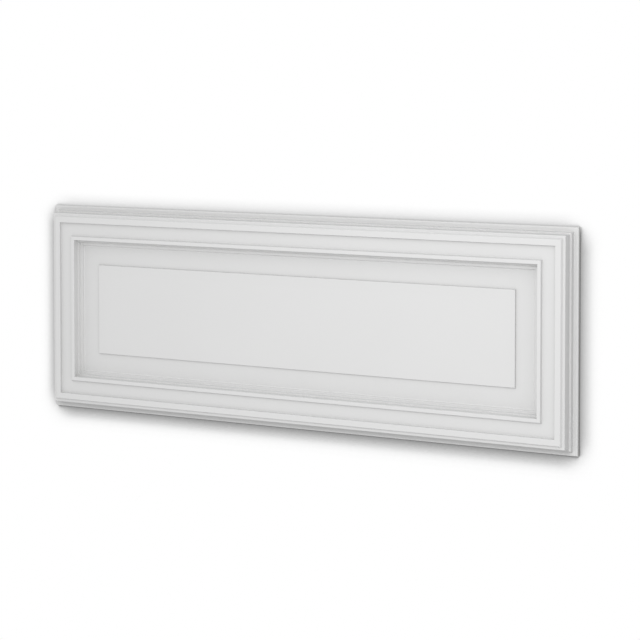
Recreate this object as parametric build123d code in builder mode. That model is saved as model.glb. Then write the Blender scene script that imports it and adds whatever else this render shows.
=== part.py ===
"""Moulded wall panel: a stepped frame moulding, mitred at its four corners, round a recessed field
that carries a slightly raised centre field. It is one piece of rigid foam, drawn lying on its flat back.

X runs along the panel's length, Y along its height on the wall, and Z out of the wall.
The origin is at the middle of the back face."""

from build123d import *
from math import dist
import os

# Overall size
panel_length = 837.0
panel_height = 300.0

# The section of the frame moulding, from the outer edge inwards.
# A riser is a step up or down: its rise or drop along Z, and its run, which is how far it leans.
flange_thickness = 4.8
flange_face = 6.5
foot_rise = 6.3
foot_run = 0.7
foot_ledge = 2.3
side_rise = 12.6
side_run = 0.9
step_face = 3.4
step_rise = 3.3
step_run = 1.8
outer_band = 8.0
band_drop = 3.6
band_run = 0.6
flat_band = 18.4
bead_rise = 3.3
bead_run = 1.2
bead_face = 5.0
wall_drop = 7.8
wall_run = 1.4
upper_ledge = 1.7
upper_drop = 3.7
upper_run = 1.2
lower_ledge = 3.6
lower_drop = 2.5
lower_run = 0.5

# The recessed field between the moulding and the raised centre field
field_margin = 27.3
field_rise = 2.4
field_draft = 12.0

# The rounds that the mould leaves: a full one along the outer edge, a small one on every edge
# of the steps, and a cove where the lowest riser meets the field
edge_round = 2.0
arris = 0.6
cove = 2.0

# The front of the section as a run along the face and a rise out of the wall for each step
steps = [
    (flange_face, 0),
    (foot_run, foot_rise),
    (foot_ledge, 0),
    (side_run, side_rise),
    (step_face, 0),
    (step_run, step_rise),
    (outer_band, 0),
    (band_run, -band_drop),
    (flat_band, 0),
    (bead_run, bead_rise),
    (bead_face, 0),
    (wall_run, -wall_drop),
    (upper_ledge, 0),
    (upper_run, -upper_drop),
    (lower_ledge, 0),
    (lower_run, -lower_drop),
    (field_margin, 0),
]

# The corners of that front, each one step on from the last
corners = [(0, flange_thickness)]
for run, rise in steps:
    last_inset, last_level = corners[-1]
    corners.append((last_inset + run, last_level + rise))
field_inset, field_level = corners[-1]


def section_corners(places):
    """The corners of the section that stand at these places."""
    return section.vertices().filter_by(
        lambda corner: any(dist((corner.X, corner.Y), place) < 0.01 for place in places))


with BuildPart() as wall_panel:
    # The section stands across the middle of the lower long edge, and its local x points inwards
    across_the_edge = Plane(origin=(0, -panel_height / 2, 0), x_dir=(0, 1, 0), z_dir=(1, 0, 0))
    with BuildSketch(across_the_edge) as section:
        with BuildLine():
            Polyline((0, 0), *corners, (field_inset, 0), close=True)
        make_face()
        fillet(section_corners(corners[:1]), radius=edge_round)
        fillet(section_corners(corners[1:-2]), radius=arris)
        fillet(section_corners(corners[-2:-1]), radius=cove)

    # It is carried once round the outer edge and turns square at each corner, which mitres it
    with BuildLine():
        Polyline(
            (0, -panel_height / 2),
            (panel_length / 2, -panel_height / 2),
            (panel_length / 2, panel_height / 2),
            (-panel_length / 2, panel_height / 2),
            (-panel_length / 2, -panel_height / 2),
            close=True,
        )
    sweep(transition=Transition.RIGHT)

    # The field closes the frame, and the raised field stands on it with a little draft
    field_length = panel_length - 2 * field_inset
    field_height = panel_height - 2 * field_inset
    with BuildSketch(Plane.XY):
        Rectangle(field_length, field_height)
    extrude(amount=field_level)
    with BuildSketch(Plane.XY.offset(field_level)):
        Rectangle(field_length, field_height)
    extrude(amount=field_rise, taper=field_draft)
    raised_field = wall_panel.faces(Select.LAST).sort_by(Axis.Z)[-1]
    fillet(raised_field.edges(), radius=arris)

wall_panel.part.label = "wall_panel"

os.makedirs("parts", exist_ok=True)
export_step(wall_panel.part, "parts/wall_panel.step")
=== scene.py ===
import math

import bmesh
import bpy
from mathutils import Matrix, Vector


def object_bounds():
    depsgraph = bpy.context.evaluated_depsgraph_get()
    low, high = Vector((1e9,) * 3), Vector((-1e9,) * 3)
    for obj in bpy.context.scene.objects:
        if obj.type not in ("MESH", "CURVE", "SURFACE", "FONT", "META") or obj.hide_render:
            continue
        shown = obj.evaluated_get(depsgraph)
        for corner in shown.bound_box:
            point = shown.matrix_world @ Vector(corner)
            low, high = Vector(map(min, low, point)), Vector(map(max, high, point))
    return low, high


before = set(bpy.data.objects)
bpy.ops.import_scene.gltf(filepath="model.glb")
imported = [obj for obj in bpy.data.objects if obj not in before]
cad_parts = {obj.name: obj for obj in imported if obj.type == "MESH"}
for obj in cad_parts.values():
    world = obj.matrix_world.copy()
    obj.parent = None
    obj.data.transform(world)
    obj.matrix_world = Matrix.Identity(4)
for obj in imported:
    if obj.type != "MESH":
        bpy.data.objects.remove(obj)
cad_low, cad_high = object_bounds()
scene = bpy.context.scene
scene.view_settings.view_transform = "Standard"

# The wall panel, moulded in one piece from rigid polyurethane foam. Its front and edges carry a sprayed
# white primer with a faint orange peel. The flat back is the bare cream foam that the glue takes to.
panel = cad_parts["wall_panel"]
PRIMER_WHITE = (0.75, 0.75, 0.75, 1)
PRIMER_SHADE = (0.735, 0.735, 0.733, 1)
# Painted shade: the colour that the primer goes towards in the hollows, where the ambient occlusion is
# least.
PAINTED_HOLLOW_SHADE = (0.46, 0.46, 0.455, 1)
PRIMER_SHINE = 0.4
PRIMER_SMOOTHEST = 0.42
PRIMER_ROUGHEST = 0.52
MOTTLE_SIZE = 0.09
GLOSS_PATCH_SIZE = 0.02
HOLLOW_REACH = 0.05
HOLLOW_SAMPLES = 16
PEEL_SIZE = 0.0016
PEEL_DEPTH = 0.0001
PEEL_STRENGTH = 0.06
FOAM_CREAM = (0.66, 0.59, 0.43, 1)
FOAM_PIT = (0.50, 0.43, 0.29, 1)
FOAM_ROUGH = 0.95
FOAM_CELL_SIZE = 0.0014
PIT_CORE = 0.05
PIT_RIM = 0.35
SPRAY_LINE_WAVE = 0.012
SPRAY_LINE_WAVER = 0.0006
BARE_BELOW = -0.00012
PRIMED_ABOVE = 0.00003


def feed(tree, socket, given):
    """Gives a socket a plain number or colour, or what another node puts out."""
    if isinstance(given, bpy.types.NodeSocket):
        tree.links.new(given, socket)
    else:
        socket.default_value = given


def add_noise(tree, place, size, detail):
    """Soft noise with lumps of about this size, fixed to the place on the piece."""
    noise = tree.nodes.new("ShaderNodeTexNoise")
    noise.inputs["Scale"].default_value = 1 / size
    noise.inputs["Detail"].default_value = detail
    feed(tree, noise.inputs["Vector"], place)
    return noise.outputs["Fac"]


def add_range(tree, value, start, end, at_start, at_end):
    """Runs from at_start to at_end while the value runs from start to end."""
    reach = tree.nodes.new("ShaderNodeMapRange")
    feed(tree, reach.inputs["Value"], value)
    feed(tree, reach.inputs["From Min"], start)
    feed(tree, reach.inputs["From Max"], end)
    feed(tree, reach.inputs["To Min"], at_start)
    feed(tree, reach.inputs["To Max"], at_end)
    return reach.outputs["Result"]


def add_mix(tree, kind, factor, first, second):
    """The first colour or number where the factor is 0, and the second where it is 1."""
    mix = tree.nodes.new("ShaderNodeMix")
    mix.data_type = kind
    feed(tree, mix.inputs["Factor"], factor)
    feed(tree, mix.inputs["A"], first)
    feed(tree, mix.inputs["B"], second)
    return mix.outputs["Result"]


def add_math(tree, operation, *values, clamp=False):
    """One operation on the values."""
    math_node = tree.nodes.new("ShaderNodeMath")
    math_node.operation = operation
    math_node.use_clamp = clamp
    for socket, value in zip(math_node.inputs, values):
        feed(tree, socket, value)
    return math_node.outputs["Value"]


def add_primer_colour(tree, place):
    """White with a slow mottle, and painted shade in the hollows, where ambient occlusion darkens the colour
    close to the steps and walls.
    """
    mottle = add_noise(tree, place, MOTTLE_SIZE, detail=4)
    mottled_white = add_mix(tree, "RGBA", mottle, PRIMER_WHITE, PRIMER_SHADE)
    # Painted shade: the ambient occlusion darkens the primer colour in the hollows and at the feet of the
    # steps.
    hollow = tree.nodes.new("ShaderNodeAmbientOcclusion")
    hollow.samples = HOLLOW_SAMPLES
    hollow.inputs["Distance"].default_value = HOLLOW_REACH
    return add_mix(tree, "RGBA", hollow.outputs["AO"], PAINTED_HOLLOW_SHADE, mottled_white)


def add_foam_colour(tree, place):
    """Cream, with the small dark pits of cut cells."""
    cells = tree.nodes.new("ShaderNodeTexVoronoi")
    cells.inputs["Scale"].default_value = 1 / FOAM_CELL_SIZE
    feed(tree, cells.inputs["Vector"], place)
    pits = add_range(tree, cells.outputs["Distance"], PIT_CORE, PIT_RIM, 1, 0)
    return add_mix(tree, "RGBA", pits, FOAM_CREAM, FOAM_PIT)


def add_bare_edge(tree, place):
    """1 on the back and 0 on the primer, which stops just short of the back along an uneven line."""
    waver = add_noise(tree, place, SPRAY_LINE_WAVE, detail=5)
    height = tree.nodes.new("ShaderNodeSeparateXYZ")
    feed(tree, height.inputs["Vector"], place)
    uneven = add_math(tree, "MULTIPLY_ADD", waver, -SPRAY_LINE_WAVER, height.outputs["Z"])
    return add_range(tree, uneven, BARE_BELOW, PRIMED_ABOVE, 1, 0)


def add_peel(tree, place):
    """The fine orange peel that the spray leaves, and a like grain in the bare foam."""
    peel = tree.nodes.new("ShaderNodeBump")
    peel.inputs["Strength"].default_value = PEEL_STRENGTH
    peel.inputs["Distance"].default_value = PEEL_DEPTH
    feed(tree, peel.inputs["Height"], add_noise(tree, place, PEEL_SIZE, detail=2))
    return peel.outputs["Normal"]


primed_foam = bpy.data.materials.new("primed_foam")
primed_foam.use_nodes = True
skin_tree = primed_foam.node_tree
skin_tree.nodes.clear()
on_panel = skin_tree.nodes.new("ShaderNodeTexCoord").outputs["Object"]
bare = add_bare_edge(skin_tree, on_panel)
primer_colour = add_primer_colour(skin_tree, on_panel)
foam_colour = add_foam_colour(skin_tree, on_panel)
gloss_patches = add_noise(skin_tree, on_panel, GLOSS_PATCH_SIZE, detail=3)
primer_rough = add_range(skin_tree, gloss_patches, 0, 1, PRIMER_SMOOTHEST, PRIMER_ROUGHEST)
skin = skin_tree.nodes.new("ShaderNodeBsdfPrincipled")
skin.inputs["Specular IOR Level"].default_value = PRIMER_SHINE
feed(skin_tree, skin.inputs["Base Color"], add_mix(skin_tree, "RGBA", bare, primer_colour, foam_colour))
feed(skin_tree, skin.inputs["Roughness"], add_mix(skin_tree, "FLOAT", bare, primer_rough, FOAM_ROUGH))
feed(skin_tree, skin.inputs["Normal"], add_peel(skin_tree, on_panel))
skin_output = skin_tree.nodes.new("ShaderNodeOutputMaterial")
feed(skin_tree, skin_output.inputs["Surface"], skin.outputs["BSDF"])

panel.data.materials.clear()
panel.data.materials.append(primed_foam)

# The pale floor that the panel lies on. It is a stage: a straight look at it, also in a glossy surface,
# finds plain white, and a painted shadow close round the panel, made in the floor's own glow from ambient
# occlusion rather than cast by the lamps. The painted shadow leans away from the upper right of the room,
# where the lamps are stronger, and is held faint along the panel's upper edge.
FLOOR_HALF = 12
FLOOR_BOUNCE = 0.65
SHADOW_REACH = 0.034
SHADOW_SAMPLES = 16
SHADOW_DEPTH = 3.7
SHADOW_CLEARS = 1.1
LEAN_RIGHT = 0.05
LEAN_AT_LOWER_EDGE = 0.08
LEAN_AT_UPPER_EDGE = 0.38
# Where the painted shadow starts to be held faint towards the upper edge, and the darkest it may be there.
FAINT_FROM = 0.9 * cad_high[1]
DARKEST_AT_UPPER_EDGE = 0.58


def add_painted_floor_shadow(tree):
    """The painted shadow on the floor: how much of the room the floor sees past the panel, 1 in the open and
    less close to the panel. The depth darkens it close in, and the clearing ends it a little before its full
    reach."""
    place = tree.nodes.new("ShaderNodeTexCoord")
    spot = tree.nodes.new("ShaderNodeSeparateXYZ")
    feed(tree, spot.inputs["Vector"], place.outputs["Object"])
    up = spot.outputs["Y"]
    facing = tree.nodes.new("ShaderNodeCombineXYZ")
    facing.inputs["X"].default_value = LEAN_RIGHT
    facing.inputs["Z"].default_value = 1
    lean_up = add_range(tree, up, cad_low[1], cad_high[1], LEAN_AT_LOWER_EDGE, LEAN_AT_UPPER_EDGE)
    feed(tree, facing.inputs["Y"], lean_up)
    contact = tree.nodes.new("ShaderNodeAmbientOcclusion")
    contact.samples = SHADOW_SAMPLES
    contact.inputs["Distance"].default_value = SHADOW_REACH
    feed(tree, contact.inputs["Normal"], facing.outputs["Vector"])
    deepened = add_math(tree, "POWER", contact.outputs["AO"], SHADOW_DEPTH)
    cleared = add_math(tree, "MULTIPLY", deepened, SHADOW_CLEARS, clamp=True)
    # Painted shadow: held no darker than a set shade near the panel's upper edge, by place on the floor.
    darkest = add_range(tree, up, FAINT_FROM, cad_high[1], 0, DARKEST_AT_UPPER_EDGE)
    return add_math(tree, "MAXIMUM", cleared, darkest)


def add_straight_look(tree):
    """1 for a look from the camera, or in a glossy or clear surface, and 0 for light on its way."""
    rays = tree.nodes.new("ShaderNodeLightPath")
    camera_or_gloss = add_math(tree, "MAXIMUM", rays.outputs["Is Camera Ray"], rays.outputs["Is Glossy Ray"])
    return add_math(tree, "MAXIMUM", camera_or_gloss, rays.outputs["Is Transmission Ray"])


white_floor = bpy.data.materials.new("white_floor")
white_floor.use_nodes = True
floor_tree = white_floor.node_tree
floor_tree.nodes.clear()
shadow = add_painted_floor_shadow(floor_tree)
# The floor glows white to a straight look, with the painted shadow in the strength of the glow.
white = floor_tree.nodes.new("ShaderNodeEmission")
feed(floor_tree, white.inputs["Strength"], shadow)
# The light that the floor throws back carries the same painted shadow in its colour.
bounce = floor_tree.nodes.new("ShaderNodeBsdfDiffuse")
feed(floor_tree, bounce.inputs["Color"], add_math(floor_tree, "MULTIPLY", shadow, FLOOR_BOUNCE))
bounce_or_white = floor_tree.nodes.new("ShaderNodeMixShader")
feed(floor_tree, bounce_or_white.inputs["Fac"], add_straight_look(floor_tree))
feed(floor_tree, bounce_or_white.inputs[1], bounce.outputs["BSDF"])
feed(floor_tree, bounce_or_white.inputs[2], white.outputs["Emission"])
floor_output = floor_tree.nodes.new("ShaderNodeOutputMaterial")
feed(floor_tree, floor_output.inputs["Surface"], bounce_or_white.outputs["Shader"])

floor_mesh = bpy.data.meshes.new("floor")
sheet = bmesh.new()
bmesh.ops.create_grid(sheet, x_segments=1, y_segments=1, size=FLOOR_HALF)
sheet.to_mesh(floor_mesh)
sheet.free()
floor_mesh.materials.append(white_floor)
floor = bpy.data.objects.new("floor", floor_mesh)
scene.collection.objects.link(floor)

# Soft studio light: an even glow from the whole room, one round soft box that hangs in front of the
# panel's upper right quarter and lights that end a little more than the other, and a faint far window
# past the upper edge. Straight looks at the room, also in a glossy surface, find it plain white.
ROOM_GLOW = 0.665
ROOM_WHITE = 1
SOFT_BOX_PLACE = Vector((0.5, 0.5, 1.4))
SOFT_BOX_SIZE = 0.7
SOFT_BOX_POWER = 8.4
WINDOW_FROM = Vector((0, 0.766, 0.643))
WINDOW_SPREAD = math.radians(25)
WINDOW_STRENGTH = 0.15

room = bpy.data.worlds.new("room")
scene.world = room
room.use_nodes = True
room_tree = room.node_tree
glow = room_tree.nodes["Background"]
glow.inputs["Color"].default_value = (1, 1, 1, 1)
glow_strength = add_mix(room_tree, "FLOAT", add_straight_look(room_tree), ROOM_GLOW, ROOM_WHITE)
feed(room_tree, glow.inputs["Strength"], glow_strength)

soft_box_lamp = bpy.data.lights.new("soft_box", "AREA")
soft_box_lamp.shape = "DISK"
soft_box_lamp.size = SOFT_BOX_SIZE
soft_box_lamp.energy = SOFT_BOX_POWER
soft_box = bpy.data.objects.new("soft_box", soft_box_lamp)
soft_box.location = SOFT_BOX_PLACE
soft_box.rotation_mode = "QUATERNION"
soft_box.rotation_quaternion = SOFT_BOX_PLACE.to_track_quat("Z", "Y")
soft_box.visible_camera = False
scene.collection.objects.link(soft_box)

window_lamp = bpy.data.lights.new("window", "SUN")
window_lamp.angle = WINDOW_SPREAD
window_lamp.energy = WINDOW_STRENGTH
window = bpy.data.objects.new("window", window_lamp)
window.rotation_mode = "QUATERNION"
window.rotation_quaternion = WINDOW_FROM.to_track_quat("Z", "Y")
scene.collection.objects.link(window)

# The camera looks down from the front of the panel, to its right and a little above its middle,
# with its up side towards +Y, so the panel stands in the picture as it does on a wall.
CAMERA_PLACE = Vector((1.470, 0.372, 2.555))
CAMERA_YAW = math.radians(29.39)
CAMERA_PITCH = math.radians(2.5)
SENSOR_WIDTH = 36
PICTURE_WIDTH_IN_PIXELS = 640
FOCAL_LENGTH_IN_PIXELS = 2118
SHIFT_UP = -0.2684
camera_data = bpy.data.cameras.new("camera")
camera_data.sensor_width = SENSOR_WIDTH
camera_data.lens = FOCAL_LENGTH_IN_PIXELS / PICTURE_WIDTH_IN_PIXELS * SENSOR_WIDTH
camera_data.shift_y = SHIFT_UP
camera = bpy.data.objects.new("camera", camera_data)
turn = Matrix.Rotation(CAMERA_YAW, 4, "Y") @ Matrix.Rotation(-CAMERA_PITCH, 4, "X")
camera.matrix_world = Matrix.Translation(CAMERA_PLACE) @ turn
scene.collection.objects.link(camera)
scene.camera = camera
